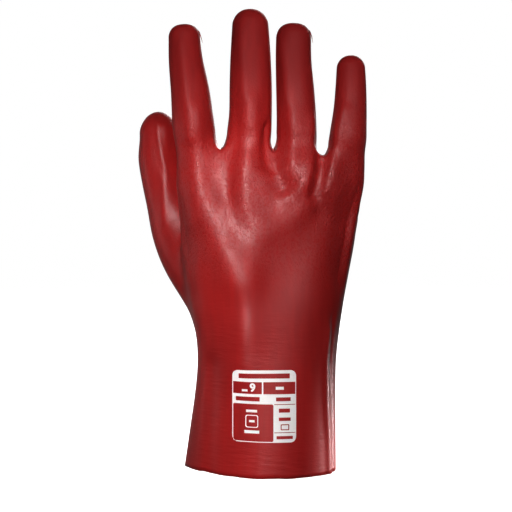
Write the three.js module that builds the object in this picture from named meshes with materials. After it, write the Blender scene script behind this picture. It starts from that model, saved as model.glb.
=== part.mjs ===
// A right-hand work glove of knitted cotton dipped in PVC, standing on its cut hem.
// The back of the hand faces -Y, the fingers point to +Z and the thumb is on the -X side.
// Lengths are in millimetres and angles in degrees. Heights are measured up from the hem.
import * as THREE from "three";

// Driving dimensions
const WALL = 1.4; // knit and coating, bonded into one wall
const ROOT_HEIGHT = 187; // where the fingers part from the palm
const FINGER_DEPTH = 0.95; // thickness of a finger as a share of its width
const FINGER_SETBACK = 0.5; // how far a finger's root lies behind the middle of the palm
const PANEL = { left: -15.4, right: 20.6, bottom: 20.5, top: 61.2, corner: 3.2, across: 10, up: 10 };
const PANEL_GAP = 0.35; // from the coating to the back of the printed panel
const PANEL_THICKNESS = 0.5;

// Colours and finishes
const COATING = new THREE.MeshStandardMaterial({ color: 0x8c1c1e, roughness: 0.4, metalness: 0 });
const INK = new THREE.MeshStandardMaterial({ color: 0xf3ecea, roughness: 0.5, metalness: 0 });

// Level sections of the cuff and palm. back and palm are the depths ahead of and behind the side
// lines, and skew is how far the right line lies ahead of the left one. A round of 2 is an ellipse,
// under 2 a sharper side fold, over 2 a fuller one.
const BODY = [
  { z: 0, left: -43.5, right: 44.2, back: 34.2, palm: 35.0, skew: 10, leftRound: 1.55, rightRound: 1.95 },
  { z: 22, left: -40.3, right: 43.9, back: 33.0, palm: 34.2, skew: 8, leftRound: 1.65, rightRound: 2.0 },
  { z: 45, left: -37.1, right: 43.8, back: 31.2, palm: 32.8, skew: 6, leftRound: 1.8, rightRound: 2.05 },
  { z: 63, left: -35.8, right: 44.3, back: 29.4, palm: 31.6, skew: 4, leftRound: 1.95, rightRound: 2.1 },
  { z: 80, left: -37.0, right: 46.0, back: 27.2, palm: 30.6, skew: 2, leftRound: 2.1, rightRound: 2.1 },
  { z: 98, left: -40.6, right: 48.6, back: 24.6, palm: 29.0, skew: 1, leftRound: 2.2, rightRound: 2.1 },
  { z: 115, left: -45.0, right: 51.7, back: 22.0, palm: 26.4, skew: 0, leftRound: 2.2, rightRound: 2.1 },
  { z: 132, left: -46.2, right: 54.8, back: 19.8, palm: 23.4, skew: 0, leftRound: 2.1, rightRound: 2.1 },
  { z: 151, left: -46.9, right: 57.7, back: 18.2, palm: 20.4, skew: 0, leftRound: 2.1, rightRound: 2.1 },
  { z: 169, left: -47.8, right: 60.6, back: 16.4, palm: 17.4, skew: 0, leftRound: 2.2, rightRound: 2.2 },
  { z: 187, left: -49.0, right: 62.0, back: 13.0, palm: 13.5, skew: 0, leftRound: 2.3, rightRound: 2.3 },
];

// Each finger from its root to its tip: how much its root slopes up to the right, how far its tip
// leans to the palm side, and its centre line and width at shares of its length.
const FINGERS = [
  {
    // index
    root: 186,
    slope: 0.08,
    tip: 255.7,
    lean: 6,
    blunt: 2.5,
    stations: [
      { t: 0, x: -36.8, width: 24.8 },
      { t: 0.25, x: -38.2, width: 23.8 },
      { t: 0.5, x: -39.6, width: 22.2 },
      { t: 0.8, x: -42.2, width: 19.6 },
      { t: 1, x: -43.0, width: 18.2 },
    ],
  },
  {
    // middle
    root: 186.5,
    slope: 0,
    tip: 264.5,
    lean: 7,
    blunt: 2.15,
    stations: [
      { t: 0, x: -6.6, width: 26.0 },
      { t: 0.25, x: -5.2, width: 24.4 },
      { t: 0.5, x: -5.0, width: 24.2 },
      { t: 0.8, x: -5.1, width: 22.6 },
      { t: 1, x: -5.2, width: 21.0 },
    ],
  },
  {
    // ring
    root: 184.5,
    slope: -0.24,
    tip: 256.3,
    lean: 6.5,
    blunt: 2.6,
    stations: [
      { t: 0, x: 21.2, width: 23.0 },
      { t: 0.25, x: 21.2, width: 22.6 },
      { t: 0.5, x: 20.6, width: 22.0 },
      { t: 0.8, x: 19.6, width: 20.6 },
      { t: 1, x: 19.6, width: 20.2 },
    ],
  },
  {
    // little
    root: 182,
    slope: 0.08,
    tip: 238.0,
    lean: 5,
    blunt: 2.1,
    stations: [
      { t: 0, x: 50.0, width: 23.2 },
      { t: 0.25, x: 50.9, width: 21.0 },
      { t: 0.5, x: 51.9, width: 19.2 },
      { t: 0.8, x: 52.4, width: 17.6 },
      { t: 1, x: 52.4, width: 16.4 },
    ],
  },
];

// The web between each finger and the next: its highest point and its drops to the two sides.
const WEBS = [
  { x: -22.0, z: 186.4, backDrop: 6.5, palmDrop: 5.5 },
  { x: 8.1, z: 186.8, backDrop: 9, palmDrop: 5.5 },
  { x: 35.2, z: 180.8, backDrop: 7, palmDrop: 5 },
];
const OUTER_DROP = 4; // how far the two outer finger roots lie below ROOT_HEIGHT

// Sections of the thumb from its seat in the palm to its tip. tilt turns the section from standing
// in the palm's side, at 0, to crossing the thumb, near 80; facing is the way that the seat looks.
const THUMB = [
  { t: 0.0, x: -41.2, y: 15.0, z: 117, tilt: 14, facing: 142, across: 13, along: 23 },
  { t: 0.16, x: -44.8, y: 20.5, z: 126, tilt: 36, facing: 143, across: 14, along: 20 },
  { t: 0.32, x: -48.4, y: 25.0, z: 137, tilt: 56, facing: 145, across: 14.4, along: 17 },
  { t: 0.5, x: -52.3, y: 29.0, z: 151, tilt: 71, facing: 150, across: 13.8, along: 14.4 },
  { t: 0.7, x: -56.2, y: 31.5, z: 168, tilt: 77, facing: 156, across: 13.4, along: 13.8 },
  { t: 0.87, x: -58.6, y: 33.0, z: 181, tilt: 80, facing: 164, across: 13.0, along: 13.2 },
  { t: 1.0, x: -58.6, y: 33.6, z: 191, tilt: 80, facing: 168, across: 12.2, along: 12.4 },
];
const THUMB_TIP = { height: 14.8, blunt: 1.9 };

// Ridges (height over 0) and hollows, each along a line seen from the front. side is -1 on the back
// of the hand and 1 on the palm side.
const FOLDS = [
  { side: -1, x1: -37, z1: 206, x2: -36, z2: 166, spread: 5, height: 1.2 }, // index knuckle
  { side: -1, x1: -34, z1: 158, x2: -17, z2: 122, spread: 8, height: 1.5 }, // bone of the index
  { side: -1, x1: -7, z1: 205, x2: -9, z2: 182, spread: 5, height: 1.0 }, // middle knuckle
  { side: -1, x1: -8, z1: 170, x2: -3, z2: 142, spread: 7, height: 1.6 }, // bone of the middle
  { side: -1, x1: 22, z1: 196, x2: 20, z2: 172, spread: 6, height: 1.6 }, // ring knuckle
  { side: -1, x1: 30, z1: 178, x2: 28, z2: 156, spread: 3.5, height: 1.2 }, // fold by the ring's root
  { side: -1, x1: 24, z1: 150, x2: 4, z2: 138, spread: 5, height: 1.4 }, // the same fold further down
  { side: -1, x1: 47, z1: 200, x2: 41, z2: 160, spread: 5, height: 1.4 }, // little knuckle
  { side: -1, x1: -21, z1: 182, x2: -21, z2: 160, spread: 5, height: -1.2 }, // index to middle
  { side: -1, x1: 7, z1: 182, x2: 13, z2: 162, spread: 3.8, height: -2.2 }, // middle to ring
  { side: -1, x1: 34, z1: 177, x2: 35, z2: 150, spread: 4, height: -1.5 }, // ring to little
  { side: -1, x1: 30, z1: 138, x2: 14, z2: 112, spread: 9, height: -1.5 }, // hollow of the back
  { side: -1, x1: -4, z1: 132, x2: -6, z2: 84, spread: 9, height: 1.2 }, // middle of the back
  { side: -1, x1: -56, z1: 196, x2: -53, z2: 150, spread: 3, height: 1.2 }, // ridge of the thumb
  { side: 1, x1: -30, z1: 120, x2: -16, z2: 84, spread: 15, height: 6 }, // ball of the thumb
  { side: 1, x1: 38, z1: 134, x2: 34, z2: 92, spread: 13, height: 4 }, // heel of the hand
  { side: 1, x1: 4, z1: 140, x2: 8, z2: 104, spread: 11, height: -3.5 }, // hollow of the palm
];

// How the skin is divided
const FRONT = 5; // segments across a finger's back, and across its palm side
const SIDE = 4; // segments across a finger's side and across a web
const LOOP = 2 * (FRONT + SIDE);
const COLUMNS = 2 * (FRONT * FINGERS.length + SIDE);
const LOWER_ROWS = 9; // from the hem to the thumb's seat
const UPPER_ROWS = 6; // from the thumb's seat to the finger roots
const SEAT = { bottom: 88, top: 141, rows: 5, columns: 4, column: 41 };
const FINGER_RINGS = [0.04, 0.11, 0.2, 0.31, 0.44, 0.58, 0.72, 0.86, 1]; // shares of its length
const SLOPE_REACH = 0.3; // share of a finger's length over which its root's slope fades
const THUMB_RINGS = 9;
const DOME = [0.35, 0.66, 0.86]; // heights of the rings on a tip's dome
const JOIN_PASSES = 8; // rounds of smoothing where digits join the palm
const FINGER_JOIN = 3; // rings of points that the smoothing reaches round the finger roots
const THUMB_JOIN = 4; // and round the thumb's seat

const FULL_FACING = 0.6; // how far the skin faces a fold's side where the fold is at its full height

const radians = THREE.MathUtils.degToRad;
const power = (base, exponent) => Math.sign(base) * Math.abs(base) ** exponent;

// The row of a table at a value of one of its columns, on a smooth curve through the rows.
function sample(rows, key, at) {
  const last = rows.length - 2;
  let i = rows.findIndex((row) => row[key] > at) - 1;
  if (i < 0) i = at <= rows[0][key] ? 0 : last;
  const [a, b] = [rows[i], rows[i + 1]];
  const [before, after] = [rows[Math.max(i - 1, 0)], rows[Math.min(i + 2, last + 1)]];
  const span = b[key] - a[key];
  const s = THREE.MathUtils.clamp((at - a[key]) / span, 0, 1);
  const found = {};
  for (const column of Object.keys(a)) {
    const slopeA = (b[column] - before[column]) / (b[key] - before[key]);
    const slopeB = (after[column] - a[column]) / (after[key] - a[key]);
    found[column] =
      a[column] * (1 + 2 * s) * (1 - s) ** 2 +
      b[column] * (3 - 2 * s) * s ** 2 +
      span * s * (1 - s) * (slopeA * (1 - s) - slopeB * s);
  }
  return found;
}

// Where the columns stand round the hand, as angles on the section at the cuff and at the knuckles.
const CORNERS = [
  { column: 0, cuff: -165, knuckle: -159 },
  { column: 5, cuff: -127.5, knuckle: -119 },
  { column: 10, cuff: -90, knuckle: -87 },
  { column: 15, cuff: -52.5, knuckle: -58 },
  { column: 20, cuff: -15, knuckle: -21 },
  { column: 24, cuff: 15, knuckle: 21 },
  { column: 29, cuff: 52.5, knuckle: 58 },
  { column: 34, cuff: 90, knuckle: 87 },
  { column: 39, cuff: 127.5, knuckle: 119 },
  { column: 44, cuff: 165, knuckle: 159 },
  { column: 48, cuff: 195, knuckle: 201 },
];

function columnAngle(column, z) {
  const i = CORNERS.findIndex((corner) => corner.column > column);
  const [a, b] = [CORNERS[i - 1], CORNERS[i]];
  const share = (column - a.column) / (b.column - a.column);
  const up = THREE.MathUtils.smoothstep(z, BODY[1].z, BODY[8].z);
  const cuff = THREE.MathUtils.lerp(a.cuff, b.cuff, share);
  const knuckle = THREE.MathUtils.lerp(a.knuckle, b.knuckle, share);
  return THREE.MathUtils.lerp(cuff, knuckle, up);
}

// A point on the level section of the cuff and palm.
function bodyPoint(angle, z) {
  const section = sample(BODY, "z", z);
  const [c, s] = [Math.cos(radians(angle)), Math.sin(radians(angle))];
  const exponent = 2 / (c < 0 ? section.leftRound : section.rightRound);
  const half = (section.right - section.left) / 2;
  const across = power(c, exponent);
  const depth = (s < 0 ? section.back : section.palm) * power(s, exponent);
  return new THREE.Vector3(
    section.left + half + half * across,
    depth - (section.skew / 2) * across,
    z,
  );
}

// The push that the folds give a point, along its outward normal. It fades where the skin turns to
// the side of the hand.
function foldHeight(point, normal) {
  let total = 0;
  for (const fold of FOLDS) {
    const facing = THREE.MathUtils.smoothstep(fold.side * normal.y, 0, FULL_FACING);
    const [dx, dz] = [fold.x2 - fold.x1, fold.z2 - fold.z1];
    const along = ((point.x - fold.x1) * dx + (point.z - fold.z1) * dz) / (dx * dx + dz * dz);
    const nearest = THREE.MathUtils.clamp(along, 0, 1);
    const [ex, ez] = [point.x - fold.x1 - nearest * dx, point.z - fold.z1 - nearest * dz];
    total += fold.height * facing * Math.exp(-(ex * ex + ez * ez) / (2 * fold.spread ** 2));
  }
  return total;
}

// The skin is a list of points and of four-sided faces that look outwards.
const points = [];
const faces = [];

function addPoint(point) {
  points.push(point);
  return points.length - 1;
}

// Faces between one closed loop of points and the next loop along.
function bridge(lower, upper) {
  lower.forEach((corner, i) => {
    const next = (i + 1) % lower.length;
    faces.push([corner, lower[next], upper[next], upper[i]]);
  });
}

// A square grid of faces over the open end of a tube, whose interior points lie on a dome.
function closeTip(loop, across, deep, frame, height, blunt) {
  const reach = (1 - DOME.at(-1) ** blunt) ** (1 / blunt);
  const corner = Array.from({ length: deep + 1 }, () => []);
  const edge = [...loop, loop[0]];
  for (let i = 0; i <= across; i++) {
    corner[0][i] = edge[i];
    corner[deep][i] = edge[2 * across + deep - i];
  }
  for (let j = 1; j < deep; j++) {
    corner[j][across] = edge[across + j];
    corner[j][0] = edge[2 * (across + deep) - j];
    for (let i = 1; i < across; i++) {
      const [s, t] = [(2 * i) / across - 1, (2 * j) / deep - 1];
      const u = reach * s * Math.sqrt(1 - (t * t) / 2);
      const v = reach * t * Math.sqrt(1 - (s * s) / 2);
      const up = (1 - Math.hypot(u, v) ** blunt) ** (1 / blunt);
      corner[j][i] = addPoint(placed(frame, u, v, up * height));
    }
  }
  for (let j = 0; j < deep; j++) {
    for (let i = 0; i < across; i++) {
      faces.push([corner[j][i], corner[j][i + 1], corner[j + 1][i + 1], corner[j + 1][i]]);
    }
  }
}

// A point of a section: u and v are shares of its half sizes, and up is along the digit.
function placed(frame, u, v, up = 0) {
  return frame.centre
    .clone()
    .addScaledVector(frame.uAxis, u * frame.uHalf)
    .addScaledVector(frame.vAxis, v * frame.vHalf)
    .addScaledVector(frame.axis, up);
}

// A digit: rings from a loop in the palm's skin up to the dome of its tip, closed by a grid.
function addDigit(root, frames, domeHeight, blunt, across, deep, startAngle) {
  let lower = root;
  const addRing = (frame, scale, up) => {
    const ring = root.map((_, i) => {
      const angle = radians(startAngle + (360 * i) / LOOP);
      return addPoint(placed(frame, scale * Math.cos(angle), scale * Math.sin(angle), up));
    });
    bridge(lower, ring);
    lower = ring;
  };
  frames.forEach((frame) => addRing(frame, 1, 0));
  const top = frames.at(-1);
  for (const height of DOME) {
    addRing(top, (1 - height ** blunt) ** (1 / blunt), height * domeHeight);
  }
  closeTip(lower, across, deep, top, domeHeight, blunt);
}

// The cuff and palm, with a hole in the side where the thumb's seat is. The top row dips at the
// webs, so that the back of the hand runs into each of them down a short slope.
function addBody() {
  const lower = Array.from({ length: LOWER_ROWS }, (_, i) => (SEAT.bottom * i) / LOWER_ROWS);
  const seatStep = (SEAT.top - SEAT.bottom) / SEAT.rows;
  const seat = Array.from({ length: SEAT.rows }, (_, i) => SEAT.bottom + seatStep * i);
  const upperStep = (ROOT_HEIGHT - SEAT.top) / UPPER_ROWS;
  const upper = Array.from({ length: UPPER_ROWS }, (_, i) => SEAT.top + upperStep * i);
  const columns = [...Array(COLUMNS).keys()];
  const rows = [...lower, ...seat, ...upper].map((z) =>
    columns.map((column) => addPoint(bodyPoint(columnAngle(column, z), z))),
  );
  rows.push(columns.map((column) => addPoint(rootPoint(column))));
  for (let row = 0; row + 1 < rows.length; row++) {
    for (const column of columns) {
      const inRows = row >= LOWER_ROWS && row < LOWER_ROWS + SEAT.rows;
      const inColumns = column >= SEAT.column && column < SEAT.column + SEAT.columns;
      if (inRows && inColumns) continue;
      const next = (column + 1) % COLUMNS;
      faces.push([rows[row][column], rows[row][next], rows[row + 1][next], rows[row + 1][column]]);
    }
  }
  return rows;
}

// A point of the top row, where the fingers start. The row dips from a finger's middle to its webs.
function rootPoint(column) {
  const point = bodyPoint(columnAngle(column, ROOT_HEIGHT), ROOT_HEIGHT);
  point.z -= OUTER_DROP;
  const backColumns = FRONT * FINGERS.length;
  const palmSide = column > backColumns + SIDE / 2;
  const along = (palmSide ? COLUMNS - SIDE - column : column) / FRONT;
  if (along < 0.5 || along > FINGERS.length - 0.5) return point;
  const nearest = Math.round(along);
  const web = WEBS[nearest - 1];
  const dip = web.z - (palmSide ? web.palmDrop : web.backDrop);
  const away = 2 * Math.abs(along - nearest);
  point.z = THREE.MathUtils.lerp(dip, point.z, away);
  if (!away) point.x = web.x;
  return point;
}

// The points across each web, from the back of the hand to the palm side, ends included.
function addWebs(top) {
  return WEBS.map((web, i) => {
    const back = top[FRONT * (i + 1)];
    const palm = top[COLUMNS - SIDE - FRONT * (i + 1)];
    const inner = Array.from({ length: SIDE - 1 }, (_, j) => {
      const share = (j + 1) / SIDE;
      const point = points[back].clone().lerp(points[palm], share);
      point.z = web.z - web.backDrop * (1 - share) ** 3 - web.palmDrop * share ** 3;
      return addPoint(point);
    });
    return [back, ...inner, palm];
  });
}

// The loop of points at the root of finger i, from its back left corner and counter-clockwise.
function fingerRoot(top, webs, i) {
  const run = (from, to) => Array.from({ length: to - from + 1 }, (_, k) => top[(from + k) % COLUMNS]);
  const palmStart = COLUMNS - SIDE - FRONT * (i + 1);
  const back = run(FRONT * i, FRONT * (i + 1));
  const palm = run(palmStart, palmStart + FRONT);
  const right = webs[i] ?? run(FRONT * FINGERS.length, FRONT * FINGERS.length + SIDE);
  const left = i ? [...webs[i - 1]].reverse() : run(COLUMNS - SIDE, COLUMNS);
  return [...back, ...right.slice(1, -1), ...palm, ...left.slice(1, -1)];
}

// A finger's centre at a share of the length below its dome.
function fingerCentre(finger, t, domeHeight) {
  const { x } = sample(finger.stations, "t", t);
  const z = THREE.MathUtils.lerp(finger.root, finger.tip - domeHeight, t);
  return new THREE.Vector3(x, FINGER_SETBACK + finger.lean * t * t, z);
}

function fingerFrames(finger, domeHeight) {
  return FINGER_RINGS.map((t) => {
    const centre = fingerCentre(finger, t, domeHeight);
    const behind = fingerCentre(finger, t - FINGER_RINGS[0] / 4, domeHeight);
    const axis = centre.clone().sub(behind).normalize();
    const uAxis = new THREE.Vector3(1, 0, 0).addScaledVector(axis, -axis.x).normalize();
    const vAxis = new THREE.Vector3().crossVectors(axis, uAxis);
    uAxis.z += finger.slope * Math.max(0, 1 - t / SLOPE_REACH);
    const uHalf = sample(finger.stations, "t", t).width / 2;
    return { centre, axis, uAxis, vAxis, uHalf, vHalf: uHalf * FINGER_DEPTH };
  });
}

function thumbFrames() {
  return Array.from({ length: THUMB_RINGS }, (_, i) => {
    const row = sample(THUMB, "t", i / (THUMB_RINGS - 1));
    const [facing, tilt] = [radians(row.facing), radians(row.tilt)];
    const out = new THREE.Vector3(Math.cos(facing), Math.sin(facing), 0);
    const up = new THREE.Vector3(0, 0, 1);
    const axis = out.clone().multiplyScalar(Math.cos(tilt)).addScaledVector(up, Math.sin(tilt));
    const vAxis = up.clone().multiplyScalar(Math.cos(tilt)).addScaledVector(out, -Math.sin(tilt));
    const uAxis = new THREE.Vector3().crossVectors(vAxis, axis);
    const centre = new THREE.Vector3(row.x, row.y, row.z);
    return { centre, axis, uAxis, vAxis, uHalf: row.across, vHalf: row.along };
  });
}

// The loop round the hole for the thumb, counter-clockwise seen from outside.
function thumbRoot(rows) {
  const [r0, r1] = [LOWER_ROWS, LOWER_ROWS + SEAT.rows];
  const [c0, c1] = [SEAT.column, SEAT.column + SEAT.columns];
  const loop = [];
  for (let c = c0; c < c1; c++) loop.push(rows[r0][c]);
  for (let r = r0; r < r1; r++) loop.push(rows[r][c1]);
  for (let c = c1; c > c0; c--) loop.push(rows[r1][c]);
  for (let r = r1; r > r0; r--) loop.push(rows[r][c0]);
  return loop;
}

// Moves points towards the mean of their neighbours, fully at the seeds and less further away. The
// pinned points stay where they are.
function smoothJoins(seeds, rings, pinned) {
  const neighbours = points.map(() => new Set());
  for (const face of faces) {
    face.forEach((corner, i) => {
      const next = face[(i + 1) % face.length];
      neighbours[corner].add(next);
      neighbours[next].add(corner);
    });
  }
  const weight = new Map(seeds.map((seed) => [seed, 1]));
  let rim = seeds;
  for (let ring = 1; ring < rings; ring++) {
    const outer = rim.flatMap((corner) => [...neighbours[corner]]).filter((n) => !weight.has(n));
    outer.forEach((corner) => weight.set(corner, 1 - ring / rings));
    rim = outer;
  }
  pinned.forEach((corner) => weight.delete(corner));
  for (let pass = 0; pass < JOIN_PASSES; pass++) {
    const moved = [...weight].map(([corner, share]) => {
      const mean = new THREE.Vector3();
      neighbours[corner].forEach((n) => mean.add(points[n]));
      mean.divideScalar(neighbours[corner].size);
      return [corner, points[corner].clone().lerp(mean, share / 2)];
    });
    moved.forEach(([corner, point]) => points[corner].copy(point));
  }
}

// The outward unit normal at each point.
function normalsOf(skin) {
  const normals = skin.map(() => new THREE.Vector3());
  for (const [a, b, c, d] of faces) {
    const across = new THREE.Vector3().subVectors(skin[c], skin[a]);
    const normal = across.cross(new THREE.Vector3().subVectors(skin[d], skin[b]));
    [a, b, c, d].forEach((corner) => normals[corner].add(normal));
  }
  return normals.map((normal) => normal.normalize());
}

// A closed mesh of four-sided faces, each cut into two triangles.
function meshOf(name, corners, quads, material) {
  const geometry = new THREE.BufferGeometry().setFromPoints(corners);
  geometry.setIndex(quads.flatMap(([a, b, c, d]) => [a, b, c, a, c, d]));
  geometry.computeVertexNormals();
  const mesh = new THREE.Mesh(geometry, material);
  mesh.name = name;
  return mesh;
}

// The glove's wall: the skin, the same skin set in by the wall's thickness, and the cut hem.
function makeShell() {
  const rows = addBody();
  const top = rows.at(-1);
  const webs = addWebs(top);
  FINGERS.forEach((finger, i) => {
    const domeHeight = finger.stations.at(-1).width / 2;
    const frames = fingerFrames(finger, domeHeight);
    const start = (180 / LOOP) * SIDE - 180;
    addDigit(fingerRoot(top, webs, i), frames, domeHeight, finger.blunt, FRONT, SIDE, start);
  });
  const seat = thumbRoot(rows);
  const thumbStart = (-180 / LOOP) * SEAT.columns - 90;
  addDigit(seat, thumbFrames(), THUMB_TIP.height, THUMB_TIP.blunt, SEAT.columns, SEAT.rows, thumbStart);
  smoothJoins(top, FINGER_JOIN, webs.flatMap((web) => web.slice(1, -1)));
  smoothJoins(seat, THUMB_JOIN, []);

  const plain = normalsOf(points);
  const outer = points.map((point, i) =>
    point.clone().addScaledVector(plain[i], point.z > 0 ? foldHeight(point, plain[i]) : 0),
  );
  const normals = normalsOf(outer);
  const inner = outer.map((point, i) => {
    const inward = normals[i].clone().negate();
    if (point.z === 0) inward.setZ(0).normalize();
    return point.clone().addScaledVector(inward, WALL);
  });
  const hem = rows[0];
  const back = outer.length;
  const rim = hem.map((corner, i) => {
    const next = hem[(i + 1) % COLUMNS];
    return [next, corner, corner + back, next + back];
  });
  const lining = faces.map(([a, b, c, d]) => [d + back, c + back, b + back, a + back]);
  return meshOf("coated_shell", [...outer, ...inner], [...faces, ...lining, ...rim], COATING);
}

// A point ahead of the front of the cuff at x and z, by a small clearance.
function cuffPoint(x, z, clearance) {
  const section = sample(BODY, "z", z);
  const half = (section.right - section.left) / 2;
  const across = (x - section.left - half) / half;
  const round = across < 0 ? section.leftRound : section.rightRound;
  const depth = (1 - Math.abs(across) ** round) ** (1 / round);
  const point = new THREE.Vector3(x, -section.back * depth - (section.skew / 2) * across, z);
  const normal = new THREE.Vector3(across * section.back, -half * depth, 0).normalize();
  return point.addScaledVector(normal, clearance + foldHeight(point, normal));
}

// The printed panel: a thin plate with round corners that lies along the front of the cuff.
function makePanel() {
  const { across, up } = PANEL;
  const centre = new THREE.Vector2((PANEL.left + PANEL.right) / 2, (PANEL.bottom + PANEL.top) / 2);
  const half = new THREE.Vector2((PANEL.right - PANEL.left) / 2, (PANEL.top - PANEL.bottom) / 2);
  const corners = [];
  for (const out of [PANEL_GAP, PANEL_GAP + PANEL_THICKNESS]) {
    for (let j = 0; j <= up; j++) {
      for (let i = 0; i <= across; i++) {
        const at = new THREE.Vector2((2 * i) / across - 1, (2 * j) / up - 1).multiply(half);
        const past = new THREE.Vector2(
          Math.max(0, Math.abs(at.x) - half.x + PANEL.corner),
          Math.max(0, Math.abs(at.y) - half.y + PANEL.corner),
        );
        const pull = Math.max(0, past.length() - PANEL.corner) / Math.max(past.length(), 1);
        const x = centre.x + at.x - Math.sign(at.x) * past.x * pull;
        const z = centre.y + at.y - Math.sign(at.y) * past.y * pull;
        corners.push(cuffPoint(x, z, out));
      }
    }
  }
  const layer = (across + 1) * (up + 1);
  const quads = [];
  const edge = new Map();
  for (let j = 0; j < up; j++) {
    for (let i = 0; i < across; i++) {
      const a = j * (across + 1) + i;
      const quad = [a, a + 1, a + across + 2, a + across + 1];
      quads.push(quad.map((corner) => corner + layer));
      quads.push([...quad].reverse());
      quad.forEach((corner, k) => edge.set(`${corner},${quad[(k + 1) % 4]}`, [corner, quad[(k + 1) % 4]]));
    }
  }
  for (const [from, to] of edge.values()) {
    if (!edge.has(`${to},${from}`)) quads.push([from, to, to + layer, from + layer]);
  }
  return meshOf("size_panel", corners, quads, INK);
}

const glove = new THREE.Group();
glove.add(makeShell(), makePanel());

// The origin is under the middle of the glove, on the plane that the hem stands on.
const box = new THREE.Box3().setFromObject(glove, true);
const middle = box.getCenter(new THREE.Vector3());
glove.position.set(-middle.x, -middle.y, 0);

export default glove;
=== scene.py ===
# %% [markdown]
# # A work glove of knitted cotton dipped in PVC
#
# The real glove starts as a seamless cotton liner on a hand-shaped former. It is dipped in liquid
# PVC, cured, pulled off and cut level at the cuff, and a panel is printed on the cuff. The packed
# model holds its true form as one hollow wall, so this file refines that wall and never moves it.

# %% Load the fixed frame
import math
from collections import namedtuple

import bmesh
import bpy
import numpy as np
from mathutils import Euler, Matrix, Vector, noise
from mathutils.bvhtree import BVHTree


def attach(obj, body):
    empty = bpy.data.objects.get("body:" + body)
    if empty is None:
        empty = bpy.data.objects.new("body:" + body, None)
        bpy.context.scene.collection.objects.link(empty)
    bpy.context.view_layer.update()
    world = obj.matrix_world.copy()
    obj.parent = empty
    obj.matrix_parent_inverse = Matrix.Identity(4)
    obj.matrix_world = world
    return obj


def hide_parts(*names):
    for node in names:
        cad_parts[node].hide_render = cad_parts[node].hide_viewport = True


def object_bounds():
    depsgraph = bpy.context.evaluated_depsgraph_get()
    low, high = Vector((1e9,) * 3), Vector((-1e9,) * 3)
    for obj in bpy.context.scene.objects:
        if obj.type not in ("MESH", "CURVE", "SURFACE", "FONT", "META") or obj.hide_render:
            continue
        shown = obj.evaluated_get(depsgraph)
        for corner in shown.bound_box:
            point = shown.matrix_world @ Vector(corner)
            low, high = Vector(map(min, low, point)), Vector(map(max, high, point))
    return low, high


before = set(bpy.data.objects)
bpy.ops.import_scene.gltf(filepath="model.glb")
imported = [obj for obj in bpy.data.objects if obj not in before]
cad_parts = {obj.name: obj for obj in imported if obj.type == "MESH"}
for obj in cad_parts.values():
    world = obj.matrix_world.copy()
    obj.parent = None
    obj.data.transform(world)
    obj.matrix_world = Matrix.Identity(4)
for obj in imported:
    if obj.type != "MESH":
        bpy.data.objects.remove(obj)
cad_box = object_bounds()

MM = 0.001
scene = bpy.context.scene
low, high = cad_box
print("CAD box in mm:", [round(v / MM, 1) for v in (*low, *high)])

# %% [markdown]
# ## The camera
#
# Blender's camera is a pinhole with a sensor 36 mm wide. The picture was taken from about a metre
# away, slightly above the glove, so a long lens is right: a short one would swell the knuckles.

# %% Stand the camera where the picture was taken
CAMERA_DISTANCE = 1.0057  # in front of the glove's middle
CAMERA_HEIGHT = 0.207
CAMERA_ASIDE = 0.00306
CAMERA_PITCH = 4.8  # degrees down
LENS = 122.6  # mm

camera_data = bpy.data.cameras.new("camera")
camera_data.lens = LENS
camera_data.sensor_width = 36
camera = bpy.data.objects.new("camera", camera_data)
camera.location = (CAMERA_ASIDE, -CAMERA_DISTANCE, CAMERA_HEIGHT)
camera.rotation_euler = Euler((math.radians(90 - CAMERA_PITCH), 0, 0))
scene.collection.objects.link(camera)
scene.camera = camera
print("camera at", tuple(camera.location))

# %% [markdown]
# ## The wall, from coarse facets to a smooth skin
#
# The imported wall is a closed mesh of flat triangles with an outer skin, an inner skin and a ring at
# the hem. It could be shaded smooth as it is, but highlights on a glossy coating would show every
# facet. Catmull-Clark subdivision gives a true curve, and it works best on quads, so the two skins
# are taken apart, each pair of triangles becomes a quad again, and each skin is subdivided.

# %% Take the two skins apart
WELD = 1e-6  # metres within which two points are one
HEM_LEVEL = 1e-5  # metres below which a face belongs to the cut edge
PAIR_ANGLE = 60  # degrees that two triangles of a quad may bend
PAIR_SKEW = 70  # degrees that a quad's corners may be off square


def points_of(mesh):
    """The places of a mesh's points, one row for each."""
    flat = np.empty(3 * len(mesh.vertices), np.float32)
    mesh.vertices.foreach_get("co", flat)
    return flat.reshape(-1, 3).astype(float)


def move_points(mesh, points):
    """Puts every point of a mesh in a new place."""
    mesh.vertices.foreach_set("co", points.astype(np.float32).ravel())
    mesh.update()


def normals_of(mesh):
    """The way that each point of a mesh faces, one row for each."""
    flat = np.empty(3 * len(mesh.vertices), np.float32)
    mesh.vertex_normals.foreach_get("vector", flat)
    return flat.reshape(-1, 3).astype(float)


def connected(start):
    """All the points of a bmesh that edges join to one point."""
    found, edge = {start}, [start]
    while edge:
        near = {e.other_vert(v) for v in edge for e in v.link_edges} - found
        found |= near
        edge = list(near)
    return found


def skin_of(node, outer):
    """The outer or the inner skin of a hollow CAD node, as a mesh of quads that is open at the hem."""
    work = bmesh.new()
    work.from_mesh(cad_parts[node].data)
    bmesh.ops.remove_doubles(work, verts=work.verts, dist=WELD)
    hem = [f for f in work.faces if all(v.co.z < HEM_LEVEL for v in f.verts)]
    bmesh.ops.delete(work, geom=hem, context="FACES")
    tallest = max(work.verts, key=lambda v: v.co.z)
    shown = connected(tallest)
    bmesh.ops.delete(work, geom=[v for v in work.verts if (v in shown) != outer], context="VERTS")
    bmesh.ops.join_triangles(
        work,
        faces=work.faces,
        angle_face_threshold=math.radians(PAIR_ANGLE),
        angle_shape_threshold=math.radians(PAIR_SKEW),
    )
    mesh = bpy.data.meshes.new("outer_skin" if outer else "inner_skin")
    work.to_mesh(mesh)
    work.free()
    return mesh


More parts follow.
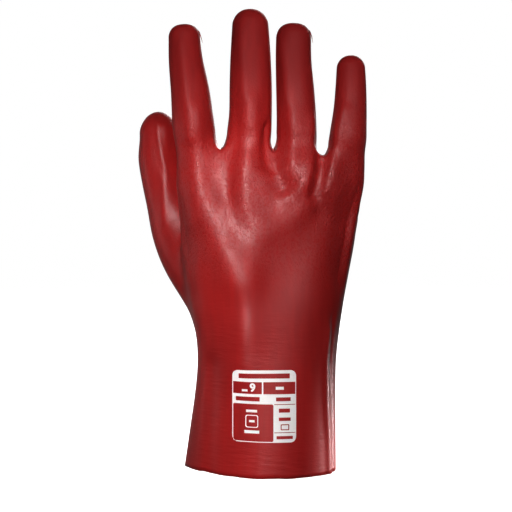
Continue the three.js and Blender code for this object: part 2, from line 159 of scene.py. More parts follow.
outer_mesh = skin_of("coated_shell", True)
inner_mesh = skin_of("coated_shell", False)
for mesh in (outer_mesh, inner_mesh):
    quads = sum(len(p.vertices) == 4 for p in mesh.polygons)
    print(mesh.name, len(mesh.vertices), "points", quads, "quads of", len(mesh.polygons), "faces")

# %% [markdown]
# Subdivision pulls a skin inwards at each bend, which would make the fingers thinner than the packed
# ones. Each point is moved out first by as much as subdivision would pull it in. Three rounds of
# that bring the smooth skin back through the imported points.

# %% Subdivide each skin through its own points
LEVELS = 2  # each level makes four quads of one
PULL_ROUNDS = 3


def subdivided(mesh, levels):
    """A copy of a mesh after so many levels of subdivision."""
    holder = bpy.data.objects.new("holder", mesh)
    scene.collection.objects.link(holder)
    modifier = holder.modifiers.new("smooth", "SUBSURF")
    modifier.levels = levels
    graph = bpy.context.evaluated_depsgraph_get()
    made = bpy.data.meshes.new_from_object(holder.evaluated_get(graph))
    bpy.data.objects.remove(holder)
    return made


def smooth_through(mesh):
    """A subdivided copy of a mesh that passes close to the mesh's own points."""
    wanted = points_of(mesh)
    for _ in range(PULL_ROUNDS):
        pulled = points_of(subdivided(mesh, 1))[: len(wanted)]
        move_points(mesh, points_of(mesh) + wanted - pulled)
    made = subdivided(mesh, LEVELS)
    miss = np.linalg.norm(points_of(made)[: len(wanted)] - wanted, axis=1)
    print(f"{mesh.name}: {len(made.polygons)} quads, at most {miss.max() / MM:.2f} mm off the CAD")
    return made


outer = smooth_through(outer_mesh)
inner = smooth_through(inner_mesh)

# %% [markdown]
# ## Folds and unevenness
#
# A dipped coating is never perfectly even: it is thicker where it ran, the cotton under it bunches
# at the roots of the fingers, and a glove pressed flat in its packet keeps soft creases. A sculptor
# would brush these on. Here each fold is one row: how far it spreads, how high it stands and a line
# through a few places on the glove, all in mm. One function moves both skins along all the lines, so
# the wall stays as thick as it was. A fold fades where the skin turns sideways, so that the outline
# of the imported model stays.

# %% Raise the folds
WALL = 1.4  # mm from skin to skin
FADE_RATE = 1.6  # a fold is whole where the skin's normal, times this, reaches 1 along Y
Fold = namedtuple("Fold", "spread height line")  # in mm; a height below zero is a groove
FOLDS = [
    # the index finger: its left face, the ridge that runs on over the hand, the hollow beside it
    Fold(3.4, 1.2, [(-39, -7, 244), (-37, -12, 225), (-35, -14, 205), (-34, -15, 192)]),
    Fold(6.0, 1.2, [(-31.0, -15, 207), (-31.0, -17, 190), (-31.5, -17, 175), (-30.6, -19, 160)]),
    Fold(3.8, -0.3, [(-24.7, -13, 201), (-23.0, -16, 184), (-23.0, -19, 170)]),
    Fold(4.5, -1.1, [(-13.5, -22, 174), (-13, -24, 158)]),
    # the knuckle under it, a broad soft bulge
    Fold(12.0, 2.6, [(-27, -20, 147), (-21, -24, 138), (-12, -27, 124), (-8, -29, 112)]),
    # the middle finger: its left face, its ridge, the hollow on its left, the groove on its right
    Fold(3.4, 0.9, [(-6, -9, 250), (-5, -14, 232), (-4, -16, 215)]),
    Fold(5.0, 1.1, [
        (0.8, -16, 212), (0.8, -17, 198), (3.1, -17, 191), (-0.3, -20, 181), (-2.6, -23, 170),
    ]),
    Fold(7.0, 1.3, [(-3, -25, 158), (-2, -26, 151)]),
    Fold(3.4, -0.7, [(-8.3, -13, 207), (-8.3, -16, 193), (-10.5, -18, 181)]),
    Fold(3.0, -2.0, [(9.3, -12, 197), (8.7, -16, 184), (9.6, -20, 175)]),
    # the ring finger: its left face, the bulge at its root, the ridge round it, the dish between
    Fold(3.0, 0.8, [(18, -6, 244), (19, -12, 228), (20, -14, 212)]),
    Fold(4.0, 0.8, [(23.4, -15, 207), (24.0, -17, 190), (23.9, -20, 179)]),
    Fold(3.8, 1.3, [
        (34.9, -12, 201), (34.8, -16, 184), (34.1, -21, 174), (31.8, -23, 167), (27.9, -23, 162),
        (18.9, -23, 156),
    ]),
    Fold(5.5, -1.0, [(18.0, -22, 164)]),
    # the little finger: its ridge and the hollow between it and the ring finger
    Fold(3.8, 1.2, [
        (53.0, -13, 207), (49.6, -14, 195), (47.3, -16, 181), (45.5, -19, 172), (42.6, -20, 162),
    ]),
    Fold(3.4, -2.2, [(39.6, -17, 178), (38.7, -20, 167), (36.5, -22, 159)]),
    # the dent right under the web between the middle and the ring finger
    Fold(2.6, -1.8, [(13, -14, 178), (14, -18, 172)]),
    # the long soft ridge down the hand and the hollow beside it
    Fold(7.0, 0.9, [(3.5, -28, 132), (0.2, -29, 114), (-2.0, -31, 95), (-3.1, -33, 75), (-3.8, -33, 55)]),
    Fold(14.0, -5.5, [(54, -10, 142), (50, -10, 118)]),
    Fold(14.0, -2.0, [(54, -10, 172), (54, -10, 160)]),
    # the arch of the hand, from the index finger's knuckle down to the cuff
    Fold(13.0, 1.8, [(-14, -27, 124), (-7, -30, 108), (-4, -32, 88), (-4, -33, 66)]),
    # its flank towards the thumb, which falls away
    Fold(9.0, -2.2, [(-43, -8, 150), (-40, -12, 128), (-36, -14, 104)]),
    # the flute down the cuff below it
    Fold(6.0, -1.2, [(-23, -23, 62), (-23, -22, 30), (-24, -23, 0)]),
    # the crease that the packet pressed into the side of the cuff, between two rolls
    Fold(1.5, -0.9, [
        (46.6, -19, 90), (46.0, -20, 78), (45.2, -21, 65), (46.5, -19, 42), (47.2, -19, 18),
        (47.2, -20, 0),
    ]),
    Fold(2.6, 1.2, [(44.2, -22, 82), (42.3, -24, 65), (43.2, -25, 42), (44.2, -24, 19), (44.6, -24, 0)]),
    # the thumb: a narrow ridge and the soft bulge under it
    Fold(1.4, 0.9, [
        (-54.5, 18, 199), (-53.6, 15, 189), (-52.4, 14, 182), (-51.2, 13, 177), (-49.4, 12, 173),
    ]),
    Fold(3.0, 0.7, [(-50.6, 11, 166), (-50.6, 10, 155), (-50.5, 8, 142)]),
    # the palm: the crease round the ball of the thumb, two across the hand, and one at the wrist
    Fold(3.0, -0.9, [(-20, 10, 160), (-16, 14, 145), (-14, 19, 128), (-14, 24, 112), (-16, 25, 100)]),
    Fold(2.4, -0.7, [(44, 10, 160), (30, 12, 163), (14, 13, 158), (0, 13, 156)]),
    Fold(2.6, -0.7, [(40, 16, 138), (20, 15, 140), (0, 13, 146), (-18, 11, 156)]),
    Fold(4.0, -0.6, [(-20, 24, 88), (0, 27, 90), (20, 24, 88)]),
    # the palm: where each finger bends from the hand
    Fold(1.8, -0.6, [(-30, 5, 186), (-22, 5, 184)]),
    Fold(1.8, -0.6, [(-8, 5, 190), (4, 6, 190)]),
    Fold(1.8, -0.6, [(20, 5, 186), (32, 5, 186)]),
    Fold(1.8, -0.6, [(44, 4, 182), (53, 4, 183)]),
]


def distance_from(points, line):
    """How far each point lies from a line through some places, in mm."""
    at = points / MM
    nearest = np.full(len(at), np.inf)
    line = np.array(line, float)
    for start, end in zip(line, line[1:] if len(line) > 1 else line):
        along = end - start
        share = np.clip((at - start) @ along / max(along @ along, 1e-9), 0, 1)
        away = np.linalg.norm(at - start - share[:, None] * along, axis=1)
        nearest = np.minimum(nearest, away)
    return nearest


def fold_heights(points, ways):
    """The folds' heights, fading where the skin turns sideways, so that the outline stays."""
    total = np.zeros(len(points))
    for fold in FOLDS:
        total += fold.height * np.exp(-((distance_from(points, fold.line) / fold.spread) ** 2))
    return total * np.clip(FADE_RATE * np.abs(ways[:, 1]), 0, 1)


SWELLS = [  # wavelengths along X, Y and Z in mm, and the height, of the coating's unevenness
    ((26, 26, 40), 0.22),
    ((7, 7, 14), 0.05),
]
SHIFT = 11.3  # wavelengths from one swell's noise to the next one's


def unevenness(points):
    """How far the coating stands over or under its even thickness at each point, in mm."""
    total = np.zeros(len(points))
    for seed, (wavelengths, height) in enumerate(SWELLS):
        at = points / MM / np.array(wavelengths) + SHIFT * seed
        total += height * np.array([noise.noise(Vector(p)) for p in at])
    return total


def raise_skin(mesh, outwards, depth):
    """Moves a skin that lies some mm under the surface by what the surface above it moves."""
    points, ways = points_of(mesh), normals_of(mesh) * outwards
    surface = points + ways * depth * MM
    rise = fold_heights(surface, ways) + unevenness(surface)
    points += ways * rise[:, None] * MM
    points[:, 2] = np.maximum(points[:, 2], 0)
    move_points(mesh, points)
    print(f"{mesh.name} rises by {rise.max():.2f} mm and sinks by {-rise.min():.2f} mm")


raise_skin(outer, 1, 0)
raise_skin(inner, -1, WALL)

# %% [markdown]
# The cuff is cut with a blade after dipping, so its edge wanders a little. The lowest points stay on
# the floor, and the rest of the edge is lifted by up to half a millimetre.

# %% Let the cut edge wander
EDGE_WANDER = 0.5  # mm
EDGE_REACH = 6  # mm of the cuff that follow
EDGE_WAVES = 6  # waves of the edge in each radian round the cuff


def edge_lift(points):
    """How far each point rises, from a noise read along a circle so that it closes on itself."""
    around = np.arctan2(points[:, 1], points[:, 0])
    lift = np.array([
        noise.noise(Vector((EDGE_WAVES * math.cos(a), EDGE_WAVES * math.sin(a), 2))) for a in around
    ])
    follow = np.clip(1 - points[:, 2] / (EDGE_REACH * MM), 0, 1)
    return np.clip(lift, 0, 1) * EDGE_WANDER * follow * MM


for mesh in (outer, inner):
    points = points_of(mesh)
    points[:, 2] += edge_lift(points)
    move_points(mesh, points)
print("the edge wanders by", EDGE_WANDER, "mm")

# %% [markdown]
# When a glove is stripped from its former, a film of plastic often tears off the next one and stays
# as a thin curl. Two fingertips carry one. A curl is a tube that tapers to nothing, with its root
# sunk in the coating, and each of its places is found by going from a guess to the nearest skin.

# %% Curl a film off two fingertips
Curl = namedtuple("Curl", "lift radius guess")  # in mm
CURLS = [
    [
        Curl(-0.2, 0.35, (-32.3, 1, 254.5)), Curl(0.2, 0.3, (-30.2, 1, 251)),
        Curl(0.5, 0.22, (-28.9, 1, 248.5)), Curl(1.1, 0.05, (-27.9, 1, 245)),
    ],
    [
        Curl(-0.2, 0.35, (30.2, 1, 254)), Curl(0.2, 0.3, (32.6, 1, 251)),
        Curl(0.5, 0.22, (34.0, 1, 248.5)), Curl(1.0, 0.05, (34.8, 1, 245)),
    ],
]
CURL_SIDES = 8


def skin_tree():
    """The outer skin as a tree that finds its nearest place, or where a ray meets it."""
    places = [tuple(p) for p in points_of(outer)]
    return BVHTree.FromPolygons(places, [tuple(p.vertices) for p in outer.polygons])


def add_curl(work, tree, curl):
    """Adds one closed, tapering tube to a bmesh."""
    middles = []
    for part in curl:
        place, way, *_ = tree.find_nearest(Vector(part.guess) * MM)
        middles.append(place + way * part.lift * MM)
    rings = []
    for i, part in enumerate(curl):
        along = (middles[min(i + 1, len(curl) - 1)] - middles[max(i - 1, 0)]).normalized()
        side = along.cross(Vector((0, 1, 0))).normalized()
        other = along.cross(side)
        turns = [2 * math.pi * k / CURL_SIDES for k in range(CURL_SIDES)]
        rings.append([
            work.verts.new(middles[i] + (side * math.cos(a) + other * math.sin(a)) * part.radius * MM)
            for a in turns
        ])
    for low_ring, high_ring in zip(rings, rings[1:]):
        for k in range(CURL_SIDES):
            j = (k + 1) % CURL_SIDES
            work.faces.new((low_ring[k], low_ring[j], high_ring[j], high_ring[k]))
    work.faces.new(rings[0])
    work.faces.new(rings[-1])


print(len(CURLS), "curls to add")

# %% [markdown]
# ## One closed wall
#
# The outer skin, the inner skin and a ring across the cut edge make one closed mesh. The ring is
# split in three: the PVC shows red on the outer part of the cut, and the cotton behind it is pale.
# A number kept on each point, 0 outside and 1 inside, says which material a face of the ring gets.

# %% Join the skins into the wall
COATING_SHARE = 0.6  # of the wall's thickness that is PVC


def joined_wall(outer, inner):
    """The whole glove as one mesh, and how many of its edges are left open."""
    work = bmesh.new()
    depth = work.verts.layers.float.new("depth")
    work.from_mesh(outer)
    outside = set(work.verts)
    work.from_mesh(inner)
    for v in work.verts:
        v[depth] = 0.0 if v in outside else 1.0
    rims = [e for e in work.edges if e.is_boundary]
    ring = bmesh.ops.bridge_loops(work, edges=rims)
    across = [e for e in ring["edges"] if abs(e.verts[0][depth] - e.verts[1][depth]) > 0.5]
    bmesh.ops.subdivide_edges(work, edges=across, cuts=2, use_grid_fill=True)
    tree = skin_tree()
    for curl in CURLS:
        add_curl(work, tree, curl)
    bmesh.ops.recalc_face_normals(work, faces=work.faces)
    for face in work.faces:
        face.smooth = True
        face.material_index = int(sum(v[depth] for v in face.verts) / len(face.verts) > COATING_SHARE)
    mesh = bpy.data.meshes.new("glove")
    work.to_mesh(mesh)
    open_edges = sum(not e.is_manifold for e in work.edges)
    work.free()
    return mesh, open_edges


wall, open_edges = joined_wall(outer, inner)
glove = bpy.data.objects.new("glove", wall)
scene.collection.objects.link(glove)
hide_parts("coated_shell")
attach(glove, "root")
print("glove:", len(wall.polygons), "faces,", open_edges, "open edges")

# %% [markdown]
# ## Shader maths as plain expressions
#
# A procedural material is a sum of small formulas. Wiring each Math node by hand hides the formula,
# so a wrapped socket is given Python's operators: `1 - mask * 0.5` adds the two nodes by itself.

# %% A socket that can be reckoned with
class Value:
    """A node's output that takes part in arithmetic."""

    def __init__(self, paint, socket):
        self.paint, self.socket = paint, socket

    def reckon(self, operation, first, second):
        return self.paint.node("Math", {"operation": operation}, {0: first, 1: second})

    def __add__(self, other):
        return self.reckon("ADD", self, other)

    def __sub__(self, other):
        return self.reckon("SUBTRACT", self, other)

    def __rsub__(self, other):
        return self.reckon("SUBTRACT", other, self)

    def __mul__(self, other):
        return self.reckon("MULTIPLY", self, other)

    __radd__ = __add__
    __rmul__ = __mul__


class Paint:
    """The nodes of one material, or of the world."""

    def __init__(self, owner):
        owner.use_nodes = True
        self.owner, self.tree = owner, owner.node_tree
        self.tree.nodes.clear()

    def node(self, kind, settings, inputs, output=0):
        """Adds a node of a kind, with its settings first and then its sockets' values or links."""
        made = self.tree.nodes.new("ShaderNode" + kind)
        for name, value in settings.items():
            setattr(made, name, value)
        for name, value in inputs.items():
            if isinstance(value, Value):
                self.tree.links.new(value.socket, made.inputs[name])
            else:
                made.inputs[name].default_value = value
        return Value(self, made.outputs[output]) if made.outputs else made

    def place(self, *scale):
        """The object's own coordinates, in units of so many to the metre."""
        here = self.node("TexCoord", {}, {}, "Object")
        return self.node("Mapping", {}, {"Vector": here, "Scale": scale})

    def grain(self, vector, detail=2.0, distortion=0.0):
        """A noise from 0 to 1, with so many finer noises in it."""
        return self.node("TexNoise", {}, {
            "Vector": vector, "Scale": 1.0, "Detail": detail, "Distortion": distortion,
        })

    def between(self, value, start, end, low=0.0, high=1.0):
        """Goes smoothly from low to high as the value goes from start to end."""
        return self.node("MapRange", {"interpolation_type": "SMOOTHSTEP"}, {
            "Value": value, "From Min": start, "From Max": end, "To Min": low, "To Max": high,
        })

    def blend(self, share, first, second):
        """A colour between two colours."""
        return self.node("Mix", {"data_type": "RGBA"}, {0: share, 6: first, 7: second}, 2)

    def position(self, axis):
        """One of the object's own coordinates, in metres."""
        here = self.node("TexCoord", {}, {}, "Object")
        return self.node("SeparateXYZ", {}, {0: here}, "XYZ".index(axis))

    def finish(self, **sockets):
        """The closing shader. Each keyword names one of its sockets, with _ for a space."""
        inputs = {name.replace("_", " "): value for name, value in sockets.items()}
        shader = self.node("BsdfPrincipled", {}, inputs)
        self.node("OutputMaterial", {}, {"Surface": shader})
        return self.owner


print("the helpers are ready")

# %% [markdown]
# ## The PVC coating
#
# The coating is a soft plastic with a satin gloss. Its colour hardly varies, so what makes it look
# real is its relief: on the hand, a fine crinkle where the coating gave way over the cotton, and on
# the cuff, faint level ribs where the courses of the knit show through. Relief this fine would need
# millions of faces, so it is a Bump node. The gloss comes from a thin coat over the base. It is
# stronger on the crests of the crinkle than between them, which makes the highlights grainy. Relief
# and gloss both fade out towards the fingertips, where the coating is drawn tight and dull.

# %% Mix the coating's material
RED = (0.43, 0.0185, 0.0175, 1)
DEEP_RED = (0.35, 0.0160, 0.0155, 1)
HAND_STARTS = (0.095, 0.135)  # metres up the glove, where the hand's crinkle comes in
FINGERS_START = (0.165, 0.235)  # where it fades again
TIGHT_STARTS = (0.182, 0.235)  # where the coating gets dull
CUFF_ENDS = (0.080, 0.125)  # where the cuff's ribs fade
THUMB_SIDE = (-0.046, -0.034)  # metres along X, where the thumb's smoother side ends
RELIEF_DEPTH = 0.00032
COAT_GLOSS = 0.34
COAT_FADE = 0.31  # how much of the gloss goes where the coating is tight


def coating_material():
    """Red plastic, crinkled on the hand and ribbed on the cuff."""
    paint = Paint(bpy.data.materials.new("pvc_coating"))
    across, up = paint.position("X"), paint.position("Z")
    on_hand = paint.between(up, *HAND_STARTS) * paint.between(up, *FINGERS_START, 1.0, 0.2)
    on_hand = on_hand * paint.between(across, *THUMB_SIDE, 0.25, 1.0)
    on_cuff = paint.between(up, *CUFF_ENDS, 1.0, 0.15)
    crinkle = paint.grain(paint.place(950, 950, 700), detail=1.0, distortion=0.8)
    crinkle = paint.between(crinkle, 0.30, 0.62)
    ribs = paint.grain(paint.place(110, 110, 560), detail=2.0)
    pores = paint.grain(paint.place(2600, 2600, 2600), detail=1.0)
    relief = crinkle * on_hand * 0.95 + ribs * on_cuff * 0.8 + pores * 0.2
    bump = paint.node("Bump", {}, {"Strength": 0.8, "Distance": RELIEF_DEPTH, "Height": relief})
    cloud = paint.grain(paint.place(26, 26, 18), detail=3.0)
    streak = paint.grain(paint.place(300, 300, 40), detail=2.0)
    tone = paint.between(cloud * 0.7 + streak * 0.3, 0.36, 0.64)
    colour = paint.blend(tone, DEEP_RED, RED)
    drawn_tight = paint.between(up, *TIGHT_STARTS)
    rough = 0.37 + cloud * 0.08 + crinkle * on_hand * 0.04 + drawn_tight * 0.24
    gloss = (COAT_GLOSS - drawn_tight * COAT_FADE) * (1 + on_hand * (crinkle * 1.9 - 0.95))
    return paint.finish(
        Base_Color=colour, Roughness=rough, Normal=bump, Specular_IOR_Level=0.32, Coat_Weight=gloss,
        Coat_Roughness=0.40,
    )


# %% [markdown]
# ## The cotton liner
#
# Inside, the glove is the back of the knit: rows of small loops in undyed cotton, tinted pink where
# the PVC soaked in. Two crossed waves make the loops, and a noise makes the cotton matt and uneven.

# %% Mix the liner's material
COTTON = (0.62, 0.50, 0.46, 1)
SOAKED_COTTON = (0.48, 0.16, 0.14, 1)


def rows(paint, direction, scale, distortion):
    """Waves along one direction, at a scale for places in mm."""
    return paint.node("TexWave", {"bands_direction": direction}, {
        "Vector": paint.place(1000, 1000, 1000), "Scale": scale, "Distortion": distortion,
        "Detail": 1.0,
    }, 1)


def liner_material():
    """Matt cotton with rows of loops, stained by the plastic."""
    paint = Paint(bpy.data.materials.new("cotton_liner"))
    courses = rows(paint, "Z", 0.11, 0.8)
    wales = rows(paint, "X", 0.16, 0.6)
    fuzz = paint.grain(paint.place(1800, 1800, 1800), detail=3.0)
    loops = courses * wales
    bump = paint.node("Bump", {}, {"Strength": 0.8, "Distance": 0.0004, "Height": loops + fuzz * 0.3})
    stain = paint.between(paint.grain(paint.place(60, 60, 60), detail=3.0), 0.35, 0.65)
    colour = paint.blend(stain * 0.5 + (1 - loops) * 0.3, COTTON, SOAKED_COTTON)
    return paint.finish(Base_Color=colour, Roughness=0.95, Normal=bump, Sheen_Weight=0.3)


for material in (coating_material(), liner_material()):
    wall.materials.append(material)
    print(material.name, len(material.node_tree.nodes), "nodes")

# %% [markdown]
# ## The printed size panel
#
# The panel is one layer of pale ink with gaps where the red coating shows: a frame line with round
# corners, a head band, two open cells, a middle band, an open field and a block. A flat 2D curve with
# loops inside loops fills just like that, gaps and all, and Blender's own text gives the size, 9. The
# filled shape is cut into narrow strips, so that it can bend, and each point is laid on the cuff.

# %% Draw the panel flat
PANEL_WIDTH = 35.9  # mm, like every size of the panel
PANEL_HEIGHT = 40.6
PANEL_MIDDLE = (7.66, 40.85)  # along X and up
FRAME_LINE = 0.5
CORNER = 3.2


def box_loop(left, top, right, bottom, corner=0.0, steps=6):
    """A loop round a box, measured in mm from the panel's top left, with round corners if asked."""
    x0, x1 = left - PANEL_WIDTH / 2, right - PANEL_WIDTH / 2
    y0, y1 = PANEL_HEIGHT / 2 - bottom, PANEL_HEIGHT / 2 - top
    if not corner:
        return [(x0, y0), (x1, y0), (x1, y1), (x0, y1)]
    loop = []
    centres = [
        (x1 - corner, y0 + corner, -90), (x1 - corner, y1 - corner, 0),
        (x0 + corner, y1 - corner, 90), (x0 + corner, y0 + corner, 180),
    ]
    for x, y, start in centres:
        for i in range(steps + 1):
            a = math.radians(start + 90 * i / steps)
            loop.append((x + corner * math.cos(a), y + corner * math.sin(a)))
    return loop


def digit_loops(digits, x, y, size, boldness):
    """The outlines of some digits round a point. A boldness below zero moves each one outwards."""
    data = bpy.data.curves.new("digits", "FONT")
    data.body = digits
    data.size = size
    data.align_x = "CENTER"
    data.align_y = "CENTER"
    holder = bpy.data.objects.new("digits", data)
    scene.collection.objects.link(holder)
    curve = holder.to_curve(bpy.context.evaluated_depsgraph_get())
    loops = []
    for spline in curve.splines:
        ends = list(spline.bezier_points)
        loop = []
        for a, b in zip(ends, ends[1:] + ends[:1]):
            for t in (0, 0.25, 0.5, 0.75):
                loop.append(
                    (1 - t) ** 3 * a.co + 3 * (1 - t) ** 2 * t * a.handle_right
                    + 3 * (1 - t) * t**2 * b.handle_left + t**3 * b.co
                )
        loop = np.array(loop)[:, :2]
        way = np.roll(loop, -1, 0) - np.roll(loop, 1, 0)
        way /= np.maximum(np.linalg.norm(way, axis=1, keepdims=True), 1e-9)
        loop += boldness * np.column_stack([-way[:, 1], way[:, 0]])
        loops.append([
            (px + x - PANEL_WIDTH / 2, py + PANEL_HEIGHT / 2 - y) for px, py in loop
        ])
    holder.to_curve_clear()
    bpy.data.objects.remove(holder)
    return loops


def panel_loops():
    """Every outline of the panel. A loop inside another is a gap in it, and one inside that is ink."""
    right, bottom = PANEL_WIDTH, PANEL_HEIGHT
    edge = FRAME_LINE
    return [
        box_loop(0, 0, right, bottom, CORNER),
        # the head band's stripe
        box_loop(3.6, 1.9, right - 3.6, 4.6),
        # two open cells: the size, and a plain bar
        box_loop(edge, 6.6, 16.6, 13.4),
        *digit_loops("9", 11.4, 10.0, 6.4, -0.28),
        box_loop(5.4, 10.8, 8.6, 12.1),
        box_loop(17.5, 6.6, right - edge, 13.4),
        box_loop(24.4, 9.2, 29.0, 10.9),
        # the middle band's stripes
        box_loop(2.0, 15.1, 15.4, 17.5),
        box_loop(24.6, 15.2, 32.8, 17.3),
        # the open field: a bar, a frame with a bar in it, and a bar
        box_loop(edge, 19.1, 23.1, bottom - edge, 0.9),
        box_loop(7.8, 22.3, 14.0, 23.8),
        box_loop(7.4, 25.2, 14.6, 32.4, 1.2),
        box_loop(7.9, 25.7, 14.1, 31.9, 0.9),
        box_loop(9.4, 28.1, 12.6, 29.4),
        box_loop(6.8, 33.9, 15.2, 35.6),
        # the pale block: fine lines above and below, and bars and a frame between them
        box_loop(23.6, 19.0, right - edge, 19.35),
        box_loop(26.2, 21.5, 32.4, 23.7),
        box_loop(26.2, 26.5, 32.8, 28.4),
        box_loop(27.2, 30.3, 32.0, 33.6, 0.5),
        box_loop(27.7, 30.8, 31.5, 33.1, 0.3),
        box_loop(23.6, 34.8, right - edge, 35.15),
        box_loop(24.9, 36.9, 34.0, 38.6),
    ]


panel_curve = bpy.data.curves.new("panel", "CURVE")
panel_curve.dimensions = "2D"
panel_curve.fill_mode = "BOTH"
for loop in panel_loops():
    spline = panel_curve.splines.new("POLY")
    spline.points.add(len(loop) - 1)
    for point, (x, y) in zip(spline.points, loop):
        point.co = (x, y, 0, 1)
    spline.use_cyclic_u = True
print("panel:", len(panel_curve.splines), "loops")

# %% [markdown]
# The ink layer is only a few hundredths of a millimetre thick. It gets a front, a back and a rim, so
# that it is a closed body like everything else, and it stands a hair off the coating.

# %% Lay the panel on the cuff
INK_THICKNESS = 0.06 * MM
INK_CLEARANCE = 0.04 * MM
STRIP = 1.5  # mm between the cuts
RAY_START = 0.05  # metres in front of the glove


def flat_panel():
    """The filled panel, still flat, cut into strips both ways."""
    holder = bpy.data.objects.new("panel", panel_curve)
    scene.collection.objects.link(holder)
    graph = bpy.context.evaluated_depsgraph_get()
    mesh = bpy.data.meshes.new_from_object(holder.evaluated_get(graph))
    bpy.data.objects.remove(holder)
    work = bmesh.new()
    work.from_mesh(mesh)
    bmesh.ops.remove_doubles(work, verts=work.verts, dist=1e-4)
    for axis, reach in ((Vector((1, 0, 0)), PANEL_WIDTH), (Vector((0, 1, 0)), PANEL_HEIGHT)):
        for i in range(1, math.ceil(reach / STRIP)):
            at = axis * (i * STRIP - reach / 2)
            geometry = [*work.verts, *work.edges, *work.faces]
            bmesh.ops.bisect_plane(work, geom=geometry, plane_co=at, plane_no=axis, dist=1e-5)
    return work


def laid_panel():
    """The panel as a thin closed layer on the cuff's curve."""
    work = flat_panel()
    skin = skin_tree()
    for v in work.verts:
        x, z = PANEL_MIDDLE[0] + v.co.x, PANEL_MIDDLE[1] + v.co.y
        start = Vector((x * MM, low.y - RAY_START, z * MM))
        hit, normal, *_ = skin.ray_cast(start, Vector((0, 1, 0)))
        v.co = hit + normal * (INK_THICKNESS + INK_CLEARANCE) * (-1 if normal.y > 0 else 1)
    work.normal_update()
    bmesh.ops.solidify(work, geom=list(work.faces), thickness=INK_THICKNESS)
    bmesh.ops.recalc_face_normals(work, faces=work.faces)
    mesh = bpy.data.meshes.new("size_print")
    work.to_mesh(mesh)
    work.free()
    return mesh


print_mesh = laid_panel()
size_print = bpy.data.objects.new("size_print", print_mesh)
scene.collection.objects.link(size_print)
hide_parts("size_panel")
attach(size_print, "root")
print("size_print:", len(print_mesh.polygons), "faces")

# %% [markdown]
# Screen ink on a ribbed coating is never quite solid: here and there it thins out, and the red
# glows through. A fine noise picks those spots and mixes a pinker colour in.

# %% Mix the ink
INK = (0.97, 0.93, 0.92, 1)
THIN_INK = (0.70, 0.42, 0.41, 1)


def ink_material():
    """Pale ink, speckled where it is thin."""
    paint = Paint(bpy.data.materials.new("print_ink"))
    speckle = paint.grain(paint.place(900, 900, 1500), detail=3.0)
    thin = paint.between(speckle, 0.60, 0.80)
    colour = paint.blend(thin * 0.4, INK, THIN_INK)
    bump = paint.node("Bump", {}, {"Strength": 0.2, "Distance": 0.00005, "Height": speckle})
    return paint.finish(Base_Color=colour, Roughness=0.5, Normal=bump)


ink = ink_material()
print_mesh.materials.append(ink)
print(ink.name, len(ink.node_tree.nodes), "nodes")

# %% [markdown]
# ## The studio
#
# The picture has a plain white ground under the glove and behind it. The floor is a pale disc with
# a weak glow of its own, like a light table, and it fades into the ground towards its rim, so no
# horizon shows. It is hidden from the rays that the glove sends out, because a red glove over a
# glowing white table would turn milky from below.

# %% Lay the floor
FLOOR_RADIUS = 1.1
TABLE_GLOW = 0.85
FLOOR_SOLID = 0.35  # the share of the radius that is fully there
FLOOR_GONE = 0.97  # the share at which nothing is left
FLOOR_TONES = ((0.90, 0.90, 0.90, 1), (0.94, 0.94, 0.94, 1))


def floor_material():
    """A pale, softly glowing surface that gets clear towards the rim."""
    paint = Paint(bpy.data.materials.new("floor"))
    here = paint.node("TexCoord", {}, {}, "Object")
    away = paint.node("VectorMath", {"operation": "LENGTH"}, {0: here}, 1)
    there = paint.between(away, FLOOR_SOLID * FLOOR_RADIUS, FLOOR_GONE * FLOOR_RADIUS, 1.0, 0.0)
    mottle = paint.grain(paint.place(40, 40, 40), detail=2.0)
    colour = paint.blend(mottle, *FLOOR_TONES)
    return paint.finish(
        Base_Color=colour, Roughness=0.9, Alpha=there,
        Emission_Color=(1, 1, 1, 1), Emission_Strength=TABLE_GLOW,
    )


def make_floor():
    """A disc at the height of the cut edge. It is stage, not part of the glove."""
    work = bmesh.new()
    bmesh.ops.create_circle(work, cap_ends=True, radius=FLOOR_RADIUS, segments=96)
    mesh = bpy.data.meshes.new("floor")
    work.to_mesh(mesh)
    work.free()
    mesh.materials.append(floor_material())
    floor = bpy.data.objects.new("floor", mesh)
    floor.visible_diffuse = False
    floor.visible_glossy = False
    scene.collection.objects.link(floor)


make_floor()
print("floor laid,", FLOOR_RADIUS, "m round the glove")

# %% [markdown]
# The ground's light depends on who looks. To the camera it is plain white. A ray mirrored by the
# glove finds a pale wall, but only behind it, which gives the rims their sheen. Everything else gets
# no more than a faint even light, or the dark places between the fingers would fill up. The picture
# has deep dark tones, and a gamma a little under 1 deepens them in the whole image.

# %% Set the ground's light
SEEN_WHITE = 1.0  # what the camera sees behind the glove
EVEN_LIGHT = 0.03  # what reaches the glove from everywhere
REAR_SHEEN = 0.3  # what its rims mirror from behind
FRONT_SHEEN = 0.02  # and what they mirror from the front
PRINT_GAMMA = 0.84  # below 1, the darker tones sink as in a catalogue print


def make_world():
    """The ground as a world with three strengths, one for each kind of ray."""
    scene.world = bpy.data.worlds.new("ground")
    paint = Paint(scene.world)
    way = paint.node("TexCoord", {}, {}, "Generated")
    back = paint.node("SeparateXYZ", {}, {0: way}, 1)
    sheen = paint.between(back, 0.2, 0.9, FRONT_SHEEN, REAR_SHEEN)
    seen = paint.node("LightPath", {}, {}, "Is Camera Ray")
    mirrored = paint.node("LightPath", {}, {}, "Is Glossy Ray")
    strength = seen * SEEN_WHITE + mirrored * sheen + (1 - seen - mirrored) * EVEN_LIGHT
    shader = paint.node("Background", {}, {"Color": (1, 1, 1, 1), "Strength": strength})
    paint.node("OutputWorld", {}, {"Surface": shader})


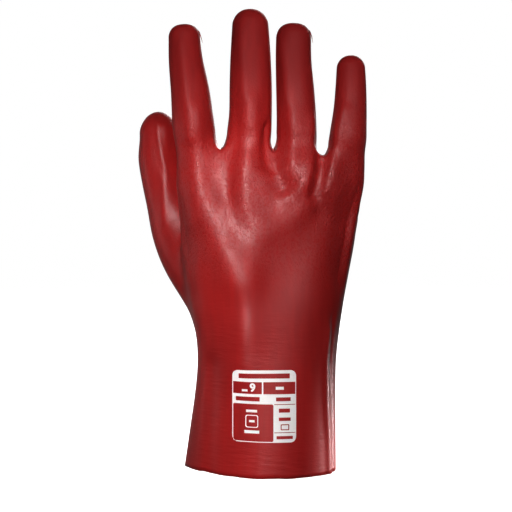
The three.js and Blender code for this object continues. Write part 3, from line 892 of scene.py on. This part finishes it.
make_world()
scene.view_settings.view_transform = "Standard"
scene.view_settings.gamma = PRINT_GAMMA
print("ground white at", SEEN_WHITE, "and gamma", PRINT_GAMMA)

# %% [markdown]
# An area light with a small spread shines as a beam, so less than a watt is enough in front, and
# each light works on one part of the glove. A soft box from the upper left lights the hand, and a
# narrow bar beside it draws the streak down the wrist and the cuff. A low box lifts the middle of the
# hand, one from the right lights the fingers, and a small bar draws the thumb's ridge. Behind the
# glove, a wide box and two lights at the sides give the bright rims.

# %% Hang the lights
Light = namedtuple("Light", "name place aim width height spread power")  # metres, degrees, watts
LIGHTS = [
    Light("softbox", (-0.30, -1.15, 0.62), (-0.03, -0.03, 0.06), 0.4, 0.38, 18, 0.30),
    Light("front bar", (-0.15, -1.25, 0.50), (-0.009, -0.03, 0.07), 0.05, 0.28, 4, 0.025),
    Light("low softbox", (-0.08, -1.25, 0.25), (0, 0, 0.18), 0.22, 0.06, 5, 0.0098),
    Light("finger softbox", (0.45, -0.95, 0.48), (0, 0, 0.32), 0.3, 0.3, 18, 0.12),
    Light("thumb bar", (-0.45, -1.10, 0.45), (-0.062, 0.01, 0.14), 0.03, 0.12, 3, 0.003),
    Light("rear softbox", (0.30, 1.20, 0.60), (0, 0, 0.12), 0.6, 0.6, 180, 12),
    Light("right strip", (0.76, 0.32, 0.02), (0.04, 0, -0.02), 0.4, 0.04, 14, 0.24),
    Light("left strip", (-0.85, 0.10, 0.10), (-0.03, 0, 0.06), 0.2, 0.2, 180, 0.4),
]


def hang(light):
    """Adds one rectangle of light, turned to what it is aimed at and unseen by the camera."""
    data = bpy.data.lights.new(light.name, "AREA")
    data.shape = "RECTANGLE"
    data.size, data.size_y = light.width, light.height
    data.spread = math.radians(light.spread)
    data.energy = light.power
    lamp = bpy.data.objects.new(light.name, data)
    lamp.location = light.place
    aim = Vector(light.aim) - Vector(light.place)
    lamp.rotation_euler = aim.to_track_quat("-Z", "Y").to_euler()
    lamp.visible_camera = False
    scene.collection.objects.link(lamp)


for light in LIGHTS:
    hang(light)
    print(light.name, light.power, "W")
